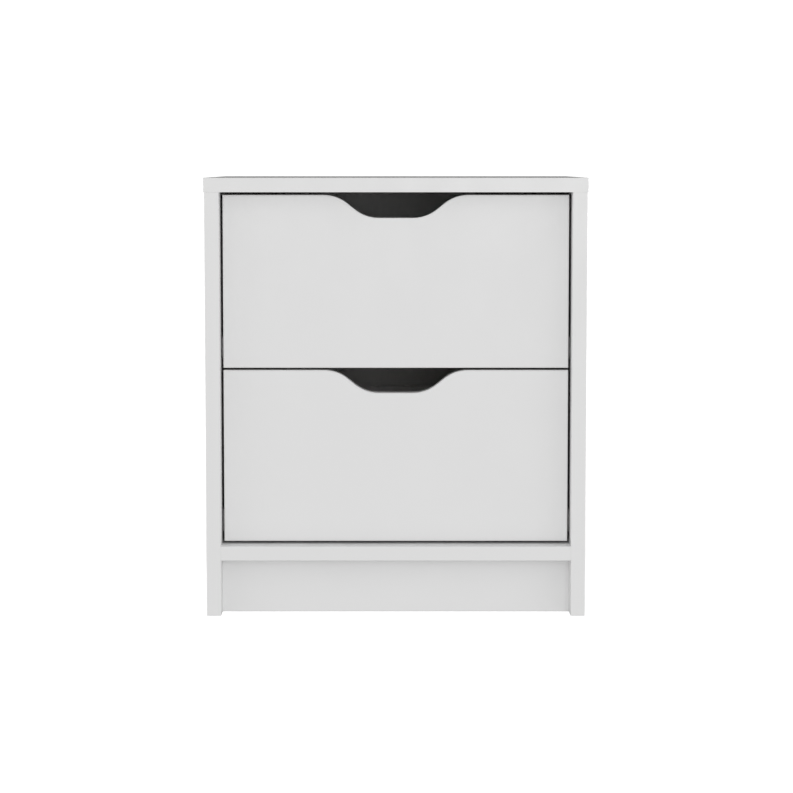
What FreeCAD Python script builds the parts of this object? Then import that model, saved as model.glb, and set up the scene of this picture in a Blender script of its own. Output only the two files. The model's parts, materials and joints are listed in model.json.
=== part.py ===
"""A nightstand with two drawers on roller runners, as a parametric FreeCAD document.

The frame: X runs to the right, the drawers open towards -Y and Z is up. The origin is on the floor,
in the middle of the footprint. All sizes are millimetres.
"""

import math
import os
import re

import FreeCAD
import Part
import Sketcher
from FreeCAD import Rotation, Vector

# The driving dimensions: alias, value and what it measures.
DIMENSIONS = [
    # Cabinet boards
    ("width", 400, "width over the top panel"),
    ("depth", 350, "depth over the top panel"),
    ("height", 460, "floor to the top surface"),
    ("board", 15, "thickness of the cabinet boards and drawer fronts"),
    ("top_overhang", 1, "top panel past the outer face of each side panel"),
    ("back_room", 4, "top panel past the rear edges of the side panels"),
    ("plinth", 59, "floor to the underside of the bottom panel"),
    ("front_recess", 20, "drawer fronts behind the front edges"),
    ("kick_recess", 27, "kick board behind the front edges"),
    ("hardboard", 3, "thickness of the back panel and drawer bottoms"),
    ("back_inset", 1, "back panel inside the outer face of each side panel"),
    ("edge_radius", 0.3, "rounding of the edge-banded board edges"),
    # Drawer fronts
    ("front_tall", 181.25, "height of a drawer front"),
    ("front_gap", 2.75, "gap at each end of a drawer front"),
    ("middle_gap", 2.5, "gap between the two drawer fronts"),
    ("pull_wide", 152, "width of the finger pull at the front's top edge"),
    ("pull_flat", 36, "width of the finger pull's straight bottom"),
    ("pull_deep", 24, "depth of the finger pull"),
    ("pull_radius", 40, "radius of the four bends of the finger pull"),
    # Drawer boxes
    ("side_board", 12, "thickness of the drawer sides and back"),
    ("box_long", 300, "length of a drawer side"),
    ("box_tall", 125, "height of a drawer side"),
    ("box_rise", 12.5, "bottom edge of a drawer side above the front's bottom edge"),
    ("groove_rise", 12, "groove for the drawer bottom above the side's bottom edge"),
    ("groove_tall", 3.2, "width of that groove"),
    ("groove_deep", 5, "depth of that groove"),
    ("groove_play", 0.3, "drawer bottom short of the end of its groove"),
    # Roller runners
    ("runner_gap", 12.5, "cabinet side to drawer side"),
    ("steel", 1.2, "sheet thickness of the rails"),
    ("rail_setback", 2, "cabinet rail behind the drawer box's front end"),
    ("floor_deep", 10.5, "cabinet rail's floor, from the cabinet side"),
    ("hood_deep", 9, "cabinet rail's hood, from the cabinet side"),
    ("channel_tall", 21, "clear height between the cabinet rail's floor and hood"),
    ("floor_cut", 25, "length of rail without a floor, round the front roller"),
    ("hood_cut", 54, "length of rail without a hood, where the drawer is lifted in"),
    ("stop_drop", 1.7, "front stop below the hood"),
    ("rear_stop", 4.5, "rear stop from the cabinet rail's rear end"),
    ("rear_stop_tall", 8, "height of the rear stop"),
    ("shelf_lift", 1.8, "drawer rail's underside above the channel floor"),
    ("shelf_wide", 11.2, "drawer rail's shelf under the drawer side"),
    ("flange_high", 18.8, "top of the drawer rail's flange above the channel floor"),
    ("flange_reach", 9.5, "flange from the drawer side towards the cabinet side"),
    ("flange_cut", 27, "length of rail without a flange, round the rear roller"),
    # Rollers and their pins
    ("roller_radius", 10, "tread radius"),
    ("roller_wide", 7.5, "width of the roller"),
    ("roller_bevel", 0.8, "bevel at both rims"),
    ("roller_play", 0.3, "gap between a tread and the steel that rolls on it"),
    ("roller_out", 1.9, "roller from the back of the rail's web"),
    ("roller_inset", 12, "front roller from the cabinet rail's front end"),
    ("rear_inset", 13, "rear roller from the drawer rail's rear end"),
    ("pin_radius", 2.5, "rivet through web and roller"),
    ("pin_play", 0.05, "running clearance round the rivet"),
    ("pin_head", 4, "radius of the rivet's head"),
    ("head_pocket", 4.6, "radius of the roller's pocket for that head"),
    ("head_sunk", 1.4, "depth of that pocket"),
    ("pin_rise", 0.1, "rivet's head above the pocket's floor"),
    ("head_tall", 1, "height of that head"),
    ("head_bevel", 0.4, "bevel of the heads of rivets and screws, and of cam faces"),
    # Cam fittings, dowels, screws and nails
    ("cam_radius", 7.5, "cabinet cam hole"),
    ("cam_deep", 12.5, "depth of the cabinet cam hole"),
    ("cam_reach", 34, "cabinet cam from the joint"),
    ("box_cam_radius", 6, "drawer cam hole"),
    ("box_cam_deep", 10, "depth of the drawer cam hole"),
    ("box_cam_reach", 24, "drawer cam from the joint"),
    ("cam_play", 0.1, "gap round a cam and above it"),
    ("cam_mouth", 3, "channel for the bolt's head past a cam's axis"),
    ("recess_share", 0.9, "length of a cam's cross recess as a share of the cam's radius"),
    ("recess_wide", 1.6, "width of each bar of that recess"),
    ("recess_deep", 2, "depth of that recess"),
    ("bolt_radius", 2.5, "thread and shank of a cam bolt"),
    ("bolt_deep", 11, "thread in the mating board, and the dowel's end in it"),
    ("bolt_point", 1.5, "tapered end of that thread"),
    ("collar_radius", 3.2, "collar of a cam bolt at the joint"),
    ("collar_long", 2, "length of that collar"),
    ("neck_radius", 1.4, "neck of a cam bolt behind its head"),
    ("ball_radius", 2.8, "head of a cam bolt"),
    ("ball_waist", 1.8, "far end of that head"),
    ("ball_long", 1.6, "widest part of that head"),
    ("ball_slope", 0.8, "slope at each end of that head"),
    ("hole_deep", 12, "holes for those"),
    ("bolt_room", 4, "radius of the hole round a cabinet cam bolt"),
    ("box_bolt_room", 3.5, "radius of the hole round a drawer cam bolt"),
    ("dowel_radius", 4, "cabinet dowel"),
    ("box_dowel_radius", 3, "drawer dowel"),
    ("dowel_long", 30, "length of every dowel"),
    ("dowel_hole", 20, "depth of its deep hole"),
    ("dowel_bevel", 0.8, "bevel at both ends of a dowel"),
    ("joint_inset", 50, "cabinet cam from the front or rear edge"),
    ("dowel_step", 32, "cabinet cam to dowel"),
    ("kick_cam", 38, "kick board cam above the floor"),
    ("kick_dowel", 14, "kick board dowel above the floor"),
    ("box_cam_high", 62, "drawer cam above the side's bottom edge"),
    ("box_dowel_step", 32, "drawer dowels above and below that cam"),
    ("screw_radius", 2, "shank of the rail screws and drawer back screws"),
    ("screw_head", 3.5, "radius of a rail screw's head"),
    ("screw_head_tall", 1.2, "height of a rail screw's head"),
    ("screw_long", 9, "rail screw in the board"),
    ("screw_spare", 0.5, "screw and nail holes beyond the point of what they hold"),
    ("tip_long", 2, "tapered point of a screw or nail"),
    ("tip_radius", 0.3, "very end of that point"),
    ("cabinet_screw_front", 37, "front screw from the cabinet rail's front end"),
    ("cabinet_screw_middle", 165, "middle screw from there"),
    ("cabinet_screw_rear", 270, "rear screw from there"),
    ("drawer_screw_front", 30, "front screw from the drawer rail's front end"),
    ("drawer_screw_middle", 160, "middle screw from there"),
    ("drawer_screw_rear", 262, "rear screw from there"),
    ("spare_radius", 2.2, "unused screw holes in the rails"),
    ("spare_start", 69, "first unused hole from a rail's front end"),
    ("spare_step", 32, "spacing of those holes"),
    ("cabinet_screw_high", 10.5, "cabinet rail screws above the channel floor"),
    ("drawer_screw_high", 9, "drawer rail screws above the channel floor"),
    ("back_screw_long", 23, "drawer back screw in the drawer back"),
    ("back_screw_head", 4, "radius of its countersunk head"),
    ("back_screw_low", 35, "lower drawer back screw above the side's bottom edge"),
    ("back_screw_high", 105, "upper drawer back screw above the side's bottom edge"),
    ("small_screw_radius", 1.5, "shank of the drawer bottom screws"),
    ("small_screw_head", 2.75, "radius of their heads"),
    ("small_screw_long", 10, "drawer bottom screw in the drawer back"),
    ("small_screw_inset", 60, "outer drawer bottom screws from the back's ends"),
    ("nail_radius", 0.8, "back panel nail"),
    ("nail_head", 2, "radius of its head"),
    ("nail_head_tall", 0.8, "height of its head"),
    ("nail_long", 16, "nail in the board"),
    ("nail_low", 90, "lowest nail in the side panels above the floor"),
    ("nail_step", 85, "spacing of the nails"),
]

# Places and sizes that follow from the driving dimensions, as rules over their aliases.
INNER = "(width / 2 - top_overhang - board)"
BOARD_MIDDLE = f"({INNER} + board / 2)"
UNDER_TOP = "(height - board)"
BOARD_LONG = "(depth - back_room)"
FRONT_EDGE = "(-depth / 2)"
FRONT_FACE = f"({FRONT_EDGE} + front_recess)"
KICK_FACE = f"({FRONT_EDGE} + kick_recess)"
BOX_FRONT = f"({FRONT_FACE} + board)"
FRONT_WIDE = f"(2 * {INNER} - 2 * front_gap)"
FRONT_SPACE = "((height - 2 * board - plinth - 2 * front_tall - middle_gap) / 2)"
BOX = f"({INNER} - runner_gap)"
BOX_MIDDLE = f"({BOX} - side_board / 2)"
BOX_INSIDE = f"({BOX} - side_board)"
RAIL_FRONT = f"({BOX_FRONT} + rail_setback)"
GROOVE_END = f"({BOX_INSIDE} + groove_deep)"
CABINET_AXLE = "(flange_high - steel - roller_play - roller_radius)"
DRAWER_AXLE = "(roller_play + roller_radius)"
JOINTS = ("joint_inset", f"({BOARD_LONG} - joint_inset)")
DOWELS = ("(joint_inset + dowel_step)", f"({BOARD_LONG} - joint_inset - dowel_step)")
CABINET_SCREWS = ("cabinet_screw_front", "cabinet_screw_middle", "cabinet_screw_rear")
DRAWER_SCREWS = ("drawer_screw_front", "drawer_screw_middle", "drawer_screw_rear")
SPARE_HOLES = tuple(f"(spare_start + {number} * spare_step)" for number in (0, 1, 2, 4, 5))
BOX_DOWELS = ("box_cam_high - box_dowel_step", "box_cam_high + box_dowel_step")
BACK_SCREWS = ("back_screw_low", "back_screw_high")
BACK_RISE = "(groove_rise + hardboard)"
BOTTOM_LONG = "(box_long + groove_deep - groove_play)"
SMALL_SCREWS = ("small_screw_inset", BOX_INSIDE, f"2 * {BOX_INSIDE} - small_screw_inset")
SIDE_NAILS = tuple(f"(nail_low + {number} * nail_step)" for number in range(5))
BOTTOM_NAILS = tuple(f"({INNER} + {number} * nail_step)" for number in (-1, 0, 1))

# The two drawers, as whole drawer heights above the lowest place.
LEVELS = {"lower": 0, "upper": 1}

RIGHT, BACK, UP = Vector(1, 0, 0), Vector(0, 1, 0), Vector(0, 0, 1)

# Each face of a board: the origin plane parallel to it, and whether a cut from it into the board
# runs along that plane's normal.
FACES = {
    "-x": ("YZ_Plane", True),
    "+x": ("YZ_Plane", False),
    "-y": ("XZ_Plane", False),
    "+y": ("XZ_Plane", True),
    "-z": ("XY_Plane", True),
    "+z": ("XY_Plane", False),
}

doc = FreeCAD.newDocument("nightstand")
sheet = doc.addObject("Spreadsheet::Sheet", "Sizes")
for row, (alias, size, meaning) in enumerate(DIMENSIONS, start=1):
    sheet.set(f"A{row}", meaning)
    sheet.set(f"B{row}", str(size))
    sheet.setAlias(f"B{row}", alias)
doc.recompute()
ALIASES = {alias for alias, size, meaning in DIMENSIONS}

subparts = []


# ---- Ties to the sheet ---------------------------------------------------------------------------


def reference(rule):
    """The rule with each alias written as a reference to its cell."""
    return re.sub(
        r"[a-z_]+", lambda word: f"Sizes.{word[0]}" if word[0] in ALIASES else word[0], rule
    )


def value(rule):
    """What the rule comes to."""
    return float(sheet.evalExpression(reference(rule)))


def bind(item, prop, rule):
    """Tie a property to the sheet."""
    item.setExpression(prop, reference(rule))


def stand(item, place, along=UP, toward=None):
    """Put an item's origin at a place, its Z axis along one direction and its X axis toward another."""
    if toward is None:
        item.Placement.Rotation = Rotation(UP, along)
    else:
        item.Placement.Rotation = Rotation(toward, Vector(), along, "ZXY")
    for axis, rule in zip("xyz", place):
        bind(item, f"Placement.Base.{axis}", rule)
    return item


def subpart(item, label):
    """Keep an item as a sub-part under its own label."""
    item.Label = label
    subparts.append(item)
    return item


def new_body(label):
    """An empty body that becomes a sub-part."""
    return subpart(doc.addObject("PartDesign::Body", label), label)


# ---- Sketches and features -----------------------------------------------------------------------


def new_sketch(body, face, level):
    """An empty sketch parallel to a face of the body, at that face's level."""
    role, into_normal = FACES[face]
    plane = next(feature for feature in body.Origin.OriginFeatures if feature.Role == role)
    sketch = body.newObject("Sketcher::SketchObject", "Sketch")
    sketch.AttachmentSupport = [(plane, "")]
    sketch.MapMode = "FlatFace"
    bind(sketch, "AttachmentOffset.Base.z", f"-({level})" if role == "XZ_Plane" else level)
    return sketch


def fix(sketch, edge, point, across, up):
    """Hold a point of a sketch edge at its distances from the sketch's origin."""
    for kind, rule in (("DistanceX", across), ("DistanceY", up)):
        number = sketch.addConstraint(Sketcher.Constraint(kind, edge, point, value(rule)))
        bind(sketch, f"Constraints[{number}]", rule)


def polygon(sketch, corners):
    """A closed outline of straight edges through the corners."""
    points = [Vector(value(across), value(up), 0) for across, up in corners]
    for start, end in zip(points, points[1:] + points[:1]):
        sketch.addGeometry(Part.LineSegment(start, end))
    for number, (across, up) in enumerate(corners):
        following = (number + 1) % len(corners)
        sketch.addConstraint(Sketcher.Constraint("Coincident", number, 2, following, 1))
        fix(sketch, number, 1, across, up)
    return sketch


def rectangle(sketch, across, up, wide, tall):
    """A rectangle from its lower left corner."""
    right, top = f"{across} + {wide}", f"{up} + {tall}"
    return polygon(sketch, [(across, up), (right, up), (right, top), (across, top)])


def circles(sketch, spots, radius):
    """A circle of the same radius at each spot."""
    for number, (across, up) in enumerate(spots):
        centre = Vector(value(across), value(up), 0)
        sketch.addGeometry(Part.Circle(centre, UP, value(radius)))
        fix(sketch, number, 3, across, up)
        size = sketch.addConstraint(Sketcher.Constraint("Radius", number, value(radius)))
        bind(sketch, f"Constraints[{size}]", radius)
    return sketch


def pad(body, sketch, face, length):
    """Material from the sketch towards the inside of the body, seen from the face."""
    feature = body.newObject("PartDesign::Pad", "Pad")
    feature.Profile = sketch
    feature.Reversed = not FACES[face][1]
    bind(feature, "Length", length)
    return feature


def cuts(body, face, make):
    """Make a feature that cuts from the face into the body, and see that it removes something."""
    doc.recompute()
    before = body.Shape.Volume
    feature = make()
    feature.Reversed = FACES[face][1]
    doc.recompute()
    if body.Shape.Volume > before - 0.1:
        raise RuntimeError(f"{body.Label}: a cut from {face} removes nothing")


def pocket(body, sketch, face, length):
    """A cut from the sketch into the body."""

    def make():
        feature = body.newObject("PartDesign::Pocket", "Pocket")
        feature.Profile = sketch
        bind(feature, "Length", length)
        return feature

    cuts(body, face, make)


def drill(body, face, level, spots, radius, length):
    """Round holes into the body from one of its faces."""
    pocket(body, circles(new_sketch(body, face, level), spots, radius), face, length)


def countersink(body, face, level, spots, radius, head):
    """Round holes through the body with a 90 degree seat for a flat screw head."""
    sketch = circles(new_sketch(body, face, level), spots, radius)

    def make():
        feature = body.newObject("PartDesign::Hole", "Hole")
        feature.Profile = sketch
        doc.recompute()
        feature.DepthType = "ThroughAll"
        feature.HoleCutType = "Countersink"
        feature.HoleCutCustomValues = True
        feature.HoleCutCountersinkAngle = 90
        bind(feature, "Diameter", f"2 * {radius}")
        bind(feature, "HoleCutDiameter", f"2 * {head}")
        return feature

    cuts(body, face, make)


def round_edges(body, feature):
    """The small radius of edge banding on every edge that the feature has."""
    fillet = body.newObject("PartDesign::Fillet", "Fillet")
    fillet.Base = (feature, [""])
    fillet.UseAllEdges = True
    bind(fillet, "Radius", "edge_radius")


def board(label, place, size, rounded=True):
    """A rectangular board with its left front lower corner at the place."""
    body = new_body(label)
    wide, long, tall = size
    base = pad(body, rectangle(new_sketch(body, "-z", "0"), "0", "0", wide, long), "+z", tall)
    base.Reversed = False
    if rounded:
        round_edges(body, base)
    return stand(body, place)


def groove(body, face, level, across, up, wide, tall, deep):
    """A rectangular cut into the body from one of its faces."""
    pocket(body, rectangle(new_sketch(body, face, level), across, up, wide, tall), face, deep)


# ---- Turned pieces, copies and mirror images -----------------------------------------------------


def turned(steps):
    """A round piece that stands on Z, from steps of lower radius, upper radius and length."""
    pieces = []
    height = "0"
    for lower, upper, length in steps:
        if lower == upper:
            piece = doc.addObject("Part::Cylinder", "Step")
            bind(piece, "Radius", lower)
        else:
            piece = doc.addObject("Part::Cone", "Step")
            bind(piece, "Radius1", lower)
            bind(piece, "Radius2", upper)
        bind(piece, "Height", length)
        bind(piece, "Placement.Base.z", height)
        height = f"{height} + {length}"
        pieces.append(piece)
    whole = doc.addObject("Part::MultiFuse", "Turned")
    whole.Shapes = pieces
    whole.Refine = True
    return whole


def cut(base, tool):
    """The base without the tool."""
    result = doc.addObject("Part::Cut", "Cut")
    result.Base = base
    result.Tool = tool
    return result


def copy_of(source, place, along=UP, toward=None):
    """A linked copy of a piece."""
    link = doc.addObject("App::Link", "Copy")
    link.LinkedObject = source
    return stand(link, place, along, toward)


def mirror_image(source):
    """The piece on the other side of the middle plane X = 0."""
    result = doc.addObject("Part::Mirroring", "Mirror")
    result.Source = source
    result.Normal = RIGHT
    return result


def group(label, pieces, both_sides=True):
    """Identical fasteners as one sub-part, with their mirror images."""
    copies = doc.addObject("Part::Compound", "Copies")
    copies.Links = pieces
    if not both_sides:
        return subpart(copies, label)
    whole = doc.addObject("Part::Compound", "Pair")
    whole.Links = [copies, mirror_image(copies)]
    return subpart(whole, label)


# ---- Hardware ------------------------------------------------------------------------------------


def dowel(radius):
    """A beech dowel with bevelled ends."""
    narrow = f"{radius} - dowel_bevel"
    return turned(
        [
            (narrow, radius, "dowel_bevel"),
            (radius, radius, "dowel_long - 2 * dowel_bevel"),
            (radius, narrow, "dowel_bevel"),
        ]
    )


def cam(radius, deep, board_thick, room):
    """A cam disc: cross recess in its face, and a channel that takes the bolt's head from +X."""
    outside = f"{radius} - cam_play"
    disc = turned(
        [
            (outside, outside, f"{deep} - 2 * head_bevel"),
            (outside, f"{outside} - head_bevel", "head_bevel"),
        ]
    )
    channel = doc.addObject("Part::Cylinder", "Channel")
    bind(channel, "Radius", f"{room} - head_bevel")
    bind(channel, "Height", f"{radius} + cam_mouth")
    stand(channel, ("-cam_mouth", "0", f"{board_thick} / 2 - cam_play"), RIGHT)
    openings = [channel]
    recess_long = f"{radius} * recess_share"
    for long, wide in ((recess_long, "recess_wide"), ("recess_wide", recess_long)):
        bar = doc.addObject("Part::Box", "Bar")
        bind(bar, "Length", long)
        bind(bar, "Width", wide)
        bind(bar, "Height", "recess_deep")
        openings.append(stand(bar, (f"-({long}) / 2", f"-({wide}) / 2", "0")))
    tool = doc.addObject("Part::MultiFuse", "Openings")
    tool.Shapes = openings
    return cut(disc, tool)


def cam_bolt(reach, cam_hole):
    """A cam bolt from its thread's tip: thread, collar at the joint, shank, neck and ball head."""
    return turned(
        [
            ("bolt_radius - 1", "bolt_radius", "bolt_point"),
            ("bolt_radius", "bolt_radius", "bolt_deep - bolt_point"),
            ("collar_radius", "collar_radius", "collar_long"),
            ("bolt_radius", "bolt_radius", f"{reach} - {cam_hole} - collar_long"),
            ("neck_radius", "neck_radius", f"{cam_hole} - ball_slope"),
            ("neck_radius", "ball_radius", "ball_slope"),
            ("ball_radius", "ball_radius", "ball_long"),
            ("ball_radius", "ball_waist", "ball_slope"),
        ]
    )


def pan_screw(radius, head, head_tall, length):
    """A screw from the top of its low round head to its tip."""
    return turned(
        [
            (f"{head} - head_bevel", head, f"{head_tall} / 2"),
            (head, head, f"{head_tall} / 2"),
            (radius, radius, f"{length} - tip_long"),
            (radius, "tip_radius", "tip_long"),
        ]
    )


def flat_screw():
    """A countersunk screw from the flat of its head to its tip."""
    return turned(
        [
            ("back_screw_head", "screw_radius", "back_screw_head - screw_radius"),
            (
                "screw_radius",
                "screw_radius",
                "side_board + back_screw_long - back_screw_head + screw_radius - tip_long",
            ),
            ("screw_radius", "tip_radius", "tip_long"),
        ]
    )


def roller(label, place, along):
    """A nylon roller: bevelled rims, a bore and a pocket for the rivet's head on its far face."""
    tread = turned(
        [
            ("roller_radius - roller_bevel", "roller_radius", "roller_bevel"),
            ("roller_radius", "roller_radius", "roller_wide - 2 * roller_bevel"),
            ("roller_radius", "roller_radius - roller_bevel", "roller_bevel"),
        ]
    )
    bore = turned(
        [
            ("pin_radius + pin_play", "pin_radius + pin_play", "roller_wide - head_sunk"),
            ("head_pocket", "head_pocket", "head_sunk"),
        ]
    )
    return subpart(stand(cut(tread, bore), place, along), label)


# ---- Cabinet -------------------------------------------------------------------------------------


def top_panel():
    """The top, with holes under both ends for the side panels' fittings."""
    top = board("top_panel", ("-width / 2", FRONT_EDGE, UNDER_TOP), ("width", "depth", "board"))
    ends = (f"width / 2 - {BOARD_MIDDLE}", f"width / 2 + {BOARD_MIDDLE}")
    drill(top, "-z", "0", [(x, y) for x in ends for y in JOINTS], "bolt_radius", "hole_deep")
    drill(top, "-z", "0", [(x, y) for x in ends for y in DOWELS], "dowel_radius", "hole_deep")


def side_panels():
    """The sides, drilled for the top, the bottom, the kick board, the rails and the back."""
    outer = f"-({INNER} + board)"
    side = board("left_side_panel", (outer, FRONT_EDGE, "0"), ("board", BOARD_LONG, UNDER_TOP))
    middle, floor_line, kick_line = "board / 2", "plinth + board / 2", "kick_recess + board / 2"
    drill(side, "+z", UNDER_TOP, [(middle, y) for y in JOINTS], "bolt_room", "cam_reach")
    drill(side, "+z", UNDER_TOP, [(middle, y) for y in DOWELS], "dowel_radius", "dowel_hole")
    cams = [(y, f"{UNDER_TOP} - cam_reach") for y in JOINTS]
    drill(side, "+x", "board", cams, "cam_radius", "cam_deep")
    bolts = [(y, floor_line) for y in JOINTS] + [(kick_line, "kick_cam")]
    drill(side, "+x", "board", bolts, "bolt_radius", "hole_deep")
    dowels = [(y, floor_line) for y in DOWELS] + [(kick_line, "kick_dowel")]
    drill(side, "+x", "board", dowels, "dowel_radius", "hole_deep")
    rail_start = "front_recess + board + rail_setback"
    screws = [
        (f"{rail_start} + {screw}", f"{runner_floor(level)} + cabinet_screw_high")
        for level in LEVELS.values()
        for screw in CABINET_SCREWS
    ]
    drill(side, "+x", "board", screws, "screw_radius", "screw_long + screw_spare")
    nails = [(middle, z) for z in SIDE_NAILS]
    drill(side, "+y", BOARD_LONG, nails, "nail_radius", "nail_long + screw_spare")
    subpart(mirror_image(side), "right_side_panel")


def bottom_panel():
    """The floor of the cabinet between the sides, with cam holes underneath."""
    place = (f"-{INNER}", FRONT_EDGE, "plinth")
    bottom = board("bottom_panel", place, (f"2 * {INNER}", BOARD_LONG, "board"))
    for face, level in (("-x", "0"), ("+x", f"2 * {INNER}")):
        bolts = [(y, "board / 2") for y in JOINTS]
        drill(bottom, face, level, bolts, "bolt_room", "cam_reach")
        dowels = [(y, "board / 2") for y in DOWELS]
        drill(bottom, face, level, dowels, "dowel_radius", "dowel_hole")
    cams = [(x, y) for x in ("cam_reach", f"2 * {INNER} - cam_reach") for y in JOINTS]
    drill(bottom, "-z", "0", cams, "cam_radius", "cam_deep")
    nails = [(x, "board / 2") for x in BOTTOM_NAILS]
    drill(bottom, "+y", BOARD_LONG, nails, "nail_radius", "nail_long + screw_spare")


def kick_board():
    """The recessed board under the bottom panel, with cam holes behind."""
    place = (f"-{INNER}", KICK_FACE, "0")
    kick = board("kick_board", place, (f"2 * {INNER}", "board", "plinth"))
    for face, level in (("-x", "0"), ("+x", f"2 * {INNER}")):
        drill(kick, face, level, [("board / 2", "kick_cam")], "bolt_room", "cam_reach")
        drill(kick, face, level, [("board / 2", "kick_dowel")], "dowel_radius", "dowel_hole")
    cams = [(x, "kick_cam") for x in ("cam_reach", f"2 * {INNER} - cam_reach")]
    drill(kick, "+y", "board", cams, "cam_radius", "cam_deep")


def back_panel():
    """The hardboard back, with a nail hole at each spot."""
    half = "(width / 2 - top_overhang - back_inset)"
    place = (f"-{half}", f"{FRONT_EDGE} + {BOARD_LONG}", "plinth")
    size = (f"2 * {half}", "hardboard", f"{UNDER_TOP} - plinth")
    back = board("back_panel", place, size, rounded=False)
    ends = (f"{half} - {BOARD_MIDDLE}", f"{half} + {BOARD_MIDDLE}")
    spots = [(x, f"{z} - plinth") for x in ends for z in SIDE_NAILS]
    spots += [(f"{half} - {INNER} + {x}", "board / 2") for x in BOTTOM_NAILS]
    drill(back, "+y", "hardboard", spots, "nail_radius", "hardboard")


def cabinet_fasteners():
    """The cams, bolts, dowels and nails that hold the cabinet together."""
    rows = [f"{FRONT_EDGE} + {y}" for y in JOINTS]
    dowel_rows = [f"{FRONT_EDGE} + {y}" for y in DOWELS]
    kick_row, kick_rear = f"{KICK_FACE} + board / 2", f"{KICK_FACE} + board"
    floor_line = "plinth + board / 2"
    inner, cam_line = f"-{INNER}", f"-{INNER} + cam_reach"

    disc = cam("cam_radius", "cam_deep", "board", "bolt_room")
    high, low = f"{UNDER_TOP} - cam_reach", "plinth + cam_play"
    discs = [copy_of(disc, (f"{inner} - cam_play", y, high), -RIGHT, UP) for y in rows]
    discs += [copy_of(disc, (cam_line, y, low), UP, -RIGHT) for y in rows]
    kick_place = (cam_line, f"{kick_rear} - cam_play", "kick_cam")
    discs.append(copy_of(disc, kick_place, -BACK, -RIGHT))
    group("cabinet_cam_discs", discs)

    bolt = cam_bolt("cam_reach", "cam_radius")
    above, beside = f"{UNDER_TOP} + bolt_deep", f"{inner} - bolt_deep"
    bolts = [copy_of(bolt, (f"-{BOARD_MIDDLE}", y, above), -UP) for y in rows]
    bolts += [copy_of(bolt, (beside, y, floor_line), RIGHT) for y in rows]
    bolts.append(copy_of(bolt, (beside, kick_row, "kick_cam"), RIGHT))
    group("cabinet_cam_bolts", bolts)

    peg = dowel("dowel_radius")
    pegs = [copy_of(peg, (f"-{BOARD_MIDDLE}", y, above), -UP) for y in dowel_rows]
    pegs += [copy_of(peg, (beside, y, floor_line), RIGHT) for y in dowel_rows]
    pegs.append(copy_of(peg, (beside, kick_row, "kick_dowel"), RIGHT))
    group("cabinet_dowels", pegs)

    nail = turned(
        [
            ("nail_head", "nail_head", "nail_head_tall"),
            ("nail_radius", "nail_radius", "hardboard + nail_long - tip_long"),
            ("nail_radius", "tip_radius", "tip_long"),
        ]
    )
    rear = f"{FRONT_EDGE} + {BOARD_LONG} + hardboard + nail_head_tall"
    spots = [(f"{side}{BOARD_MIDDLE}", z) for side in ("-", "") for z in SIDE_NAILS]
    spots += [(f"{x} - {INNER}", floor_line) for x in BOTTOM_NAILS]
    nails = [copy_of(nail, (x, rear, z), -BACK) for x, z in spots]
    group("back_panel_nails", nails, both_sides=False)


# ---- Roller runners ------------------------------------------------------------------------------


def front_bottom(level):
    """The bottom edge of a drawer front above the floor."""
    return f"(plinth + board + {FRONT_SPACE} + {level} * (front_tall + middle_gap))"


def box_bottom(level):
    """The bottom edges of a drawer's sides above the floor."""
    return f"({front_bottom(level)} + box_rise)"


def runner_floor(level):
    """The channel floor of a drawer's runners above the floor."""
    return f"({box_bottom(level)} - shelf_lift - steel)"


def cabinet_rail(label, level):
    """A C channel: the drawer's roller runs on its floor and stops at tabs at both ends."""
    rail = new_body(label)
    top = "channel_tall"
    section = [
        ("0", "-steel"),
        ("floor_deep", "-steel"),
        ("floor_deep", "0"),
        ("steel", "0"),
        ("steel", top),
        ("hood_deep", top),
        ("hood_deep", f"{top} + steel"),
        ("0", f"{top} + steel"),
    ]
    pad(rail, polygon(new_sketch(rail, "-y", "0"), section), "+y", "box_long").Reversed = True
    groove(rail, "-z", "-steel", "steel", "0", "floor_deep - steel", "floor_cut", "steel")
    groove(rail, "+z", f"{top} + steel", "steel", "0", "hood_deep - steel", "hood_cut", "steel")
    front = rectangle(new_sketch(rail, "+z", top), "steel", "hood_cut", "hood_deep - steel", "steel")
    pad(rail, front, "+z", "stop_drop").Reversed = True
    rear_start = "box_long - rear_stop"
    rear = rectangle(new_sketch(rail, "+z", "0"), "steel", rear_start, "floor_deep - steel", "steel")
    pad(rail, rear, "-z", "rear_stop_tall").Reversed = False
    screws = [(y, "cabinet_screw_high") for y in CABINET_SCREWS]
    drill(rail, "-x", "0", screws, "screw_radius", "steel")
    spares = [(y, "cabinet_screw_high") for y in SPARE_HOLES]
    drill(rail, "-x", "0", spares, "spare_radius", "steel")
    drill(rail, "-x", "0", [("roller_inset", CABINET_AXLE)], "pin_radius", "steel")
    return stand(rail, (f"-{INNER}", RAIL_FRONT, runner_floor(level)))


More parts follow.
